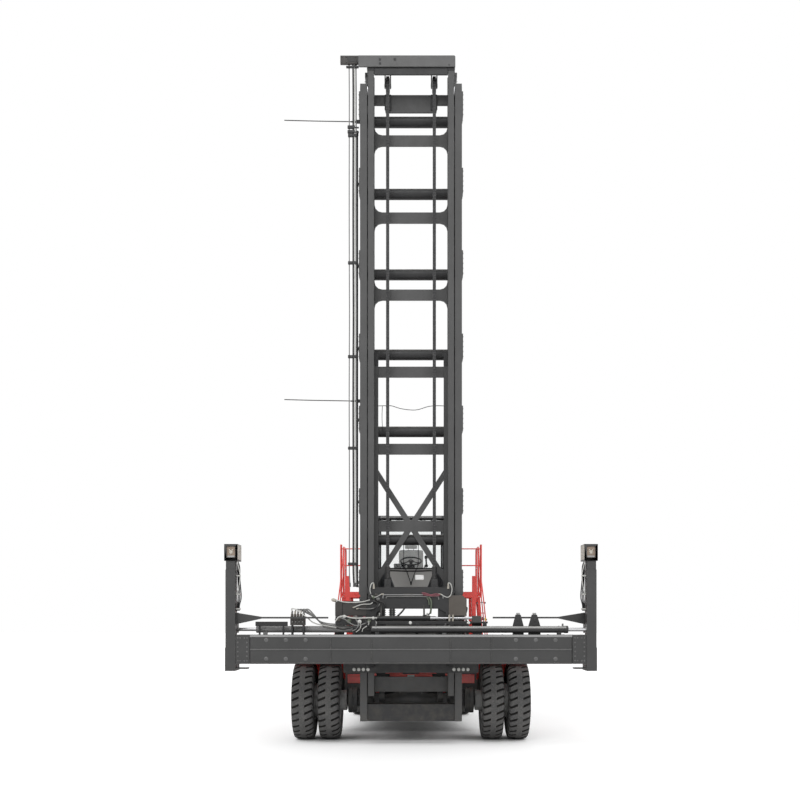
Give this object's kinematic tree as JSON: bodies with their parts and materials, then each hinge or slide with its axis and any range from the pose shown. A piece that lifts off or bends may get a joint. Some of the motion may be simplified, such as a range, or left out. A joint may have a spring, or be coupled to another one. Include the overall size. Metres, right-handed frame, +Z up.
{
  "type": "empty container handler",
  "caption": "Port lift truck with a tall two-stage mast and a telescopic side-lift spreader for empty containers.",
  "frame": {"origin": "on the ground under the middle of the whole machine", "axes": "+X is to the right as seen from in front, -Y is forward, +Z is up"},
  "size_m": [6.055, 7.4, 11.835],
  "materials": {
    "cab_paint": "satin grey paint",
    "cast_weight": "painted casting",
    "chain_steel": "oiled chain",
    "chassis_paint": "satin dark grey paint",
    "chrome": "polished rod",
    "glass": "clear",
    "hose_rubber": "black hose",
    "lamp_body": "lamp housing",
    "light_steel": "grey paint",
    "mast_steel": "semi-gloss dark grey paint",
    "plastic": "moulded",
    "red_paint": "gloss red paint",
    "rim_paint": "light grey paint",
    "seat_cloth": "woven seat cloth",
    "spreader_steel": "semi-gloss dark grey paint",
    "tyre_rubber": "worn tread"
  },
  "bodies": {
    "chassis": {"chassis_frame": "chassis_paint", "drive_axle": "chassis_paint", "steer_axle": "chassis_paint", "counterweight": "cast_weight", "radiator_grille": "chassis_paint", "engine_block": "cast_weight", "engine_hood": "chassis_paint", "side_tanks": "chassis_paint", "front_fenders": "red_paint", "deck_plates": "red_paint", "ladders_and_rails": "red_paint", "cab_frame": "cab_paint", "cab_glass": "glass", "seat_frame": "plastic", "seat_cushions": "seat_cloth", "steering_console": "plastic", "exhaust_stack": "light_steel", "work_lamps": "lamp_body"},
    "engine_cover": {"engine_lid": "chassis_paint"},
    "door_left": {"cab_door_left": "cab_paint", "door_glass_left": "glass"},
    "door_right": {"cab_door_right": "cab_paint", "door_glass_right": "glass"},
    "wheel_front_left": {"tyre_front_left": "tyre_rubber", "rim_front_left": "rim_paint"},
    "wheel_front_right": {"tyre_front_right": "tyre_rubber", "rim_front_right": "rim_paint"},
    "knuckle_left": {"knuckle_left": "chassis_paint"},
    "knuckle_right": {"knuckle_right": "chassis_paint"},
    "wheel_rear_left": {"tyre_rear_left": "tyre_rubber", "rim_rear_left": "rim_paint"},
    "wheel_rear_right": {"tyre_rear_right": "tyre_rubber", "rim_rear_right": "rim_paint"},
    "outer_mast": {"outer_columns": "mast_steel", "outer_ties": "mast_steel", "lift_barrels": "mast_steel", "mast_pipes": "chain_steel"},
    "tilt_barrels": {"tilt_barrels": "mast_steel"},
    "tilt_rods": {"tilt_rods": "chrome"},
    "inner_mast": {"inner_columns": "mast_steel", "inner_rungs": "light_steel", "crosshead": "light_steel", "chain_sheaves": "chain_steel", "lift_chains": "chain_steel", "lift_rods": "chrome", "mast_hoses": "hose_rubber"},
    "carriage": {"carriage": "mast_steel", "shift_barrel": "spreader_steel"},
    "spreader": {"shift_frame": "spreader_steel", "shift_rod": "chrome", "spreader_beam": "spreader_steel", "spreader_hydraulics": "spreader_steel"},
    "arm_left": {"spreader_arm_left": "spreader_steel"},
    "arm_right": {"spreader_arm_right": "spreader_steel"}
  },
  "joints": [
    {"name": "front_left_roll", "type": "hinge", "parent": "chassis", "child": "wheel_front_left", "pos_m": [-1.67, -1.9, 0.69], "axis": [1, 0, 0], "continuous": true},
    {"name": "front_right_roll", "type": "hinge", "parent": "chassis", "child": "wheel_front_right", "pos_m": [1.67, -1.9, 0.69], "axis": [1, 0, 0], "continuous": true},
    {"name": "steer_left", "type": "hinge", "parent": "chassis", "child": "knuckle_left", "pos_m": [-0.86, 2.6, 0.69], "axis": [0, 0, 1], "range_deg": [-65, 65]},
    {"name": "steer_right", "type": "hinge", "parent": "chassis", "child": "knuckle_right", "pos_m": [0.86, 2.6, 0.69], "axis": [0, 0, 1], "range_deg": [-65, 65]},
    {"name": "rear_left_roll", "type": "hinge", "parent": "knuckle_left", "child": "wheel_rear_left", "pos_m": [-1.13, 2.6, 0.69], "axis": [1, 0, 0], "continuous": true},
    {"name": "rear_right_roll", "type": "hinge", "parent": "knuckle_right", "child": "wheel_rear_right", "pos_m": [1.13, 2.6, 0.69], "axis": [1, 0, 0], "continuous": true},
    {"name": "mast_tilt", "type": "hinge", "parent": "chassis", "child": "outer_mast", "pos_m": [0, -2.24, 0.77], "axis": [1, 0, 0], "range_deg": [-5, 3]},
    {"name": "tilt_barrel_swing", "type": "hinge", "parent": "chassis", "child": "tilt_barrels", "pos_m": [0, -0.75, 1.6], "axis": [1, 0, 0], "range_deg": [-2.2, 1.4]},
    {"name": "tilt_rod_slide", "type": "slide", "parent": "tilt_barrels", "child": "tilt_rods", "axis": [0, -0.9003, 0.4352], "range_m": [-0.123, 0.075]},
    {"name": "mast_lift", "type": "slide", "parent": "outer_mast", "child": "inner_mast", "axis": [0, 0, 1], "range_m": [0, 8.7]},
    {"name": "carriage_lift", "type": "slide", "parent": "inner_mast", "child": "carriage", "axis": [0, 0, 1], "range_m": [0, 8.7]},
    {"name": "side_shift", "type": "slide", "parent": "carriage", "child": "spreader", "axis": [1, 0, 0], "range_m": [-0.5, 0.5]},
    {"name": "left_arm_reach", "type": "slide", "parent": "spreader", "child": "arm_left", "axis": [-1, 0, 0], "range_m": [0, 3.067]},
    {"name": "right_arm_reach", "type": "slide", "parent": "spreader", "child": "arm_right", "axis": [1, 0, 0], "range_m": [0, 3.067]},
    {"name": "left_door_swing", "type": "hinge", "parent": "chassis", "child": "door_left", "pos_m": [-0.7, -0.915, 3.322], "axis": [0, 0, 1], "range_deg": [0, 85]},
    {"name": "right_door_swing", "type": "hinge", "parent": "chassis", "child": "door_right", "pos_m": [0.7, -0.915, 3.322], "axis": [0, 0, -1], "range_deg": [0, 85]},
    {"name": "engine_cover_swing", "type": "hinge", "parent": "chassis", "child": "engine_cover", "pos_m": [0, 0.51, 2.157], "axis": [1, 0, 0], "range_deg": [0, 70]}
  ],
  "couplings": [
    {"joint": "steer_right", "follows": "steer_left", "ratio": 1},
    {"joint": "tilt_barrel_swing", "follows": "mast_tilt", "ratio": 0.41557},
    {"joint": "tilt_rod_slide", "follows": "mast_tilt", "m_per_rad": 1.3958},
    {"joint": "carriage_lift", "follows": "mast_lift", "ratio": 1},
    {"joint": "right_arm_reach", "follows": "left_arm_reach", "ratio": 1}
  ]
}
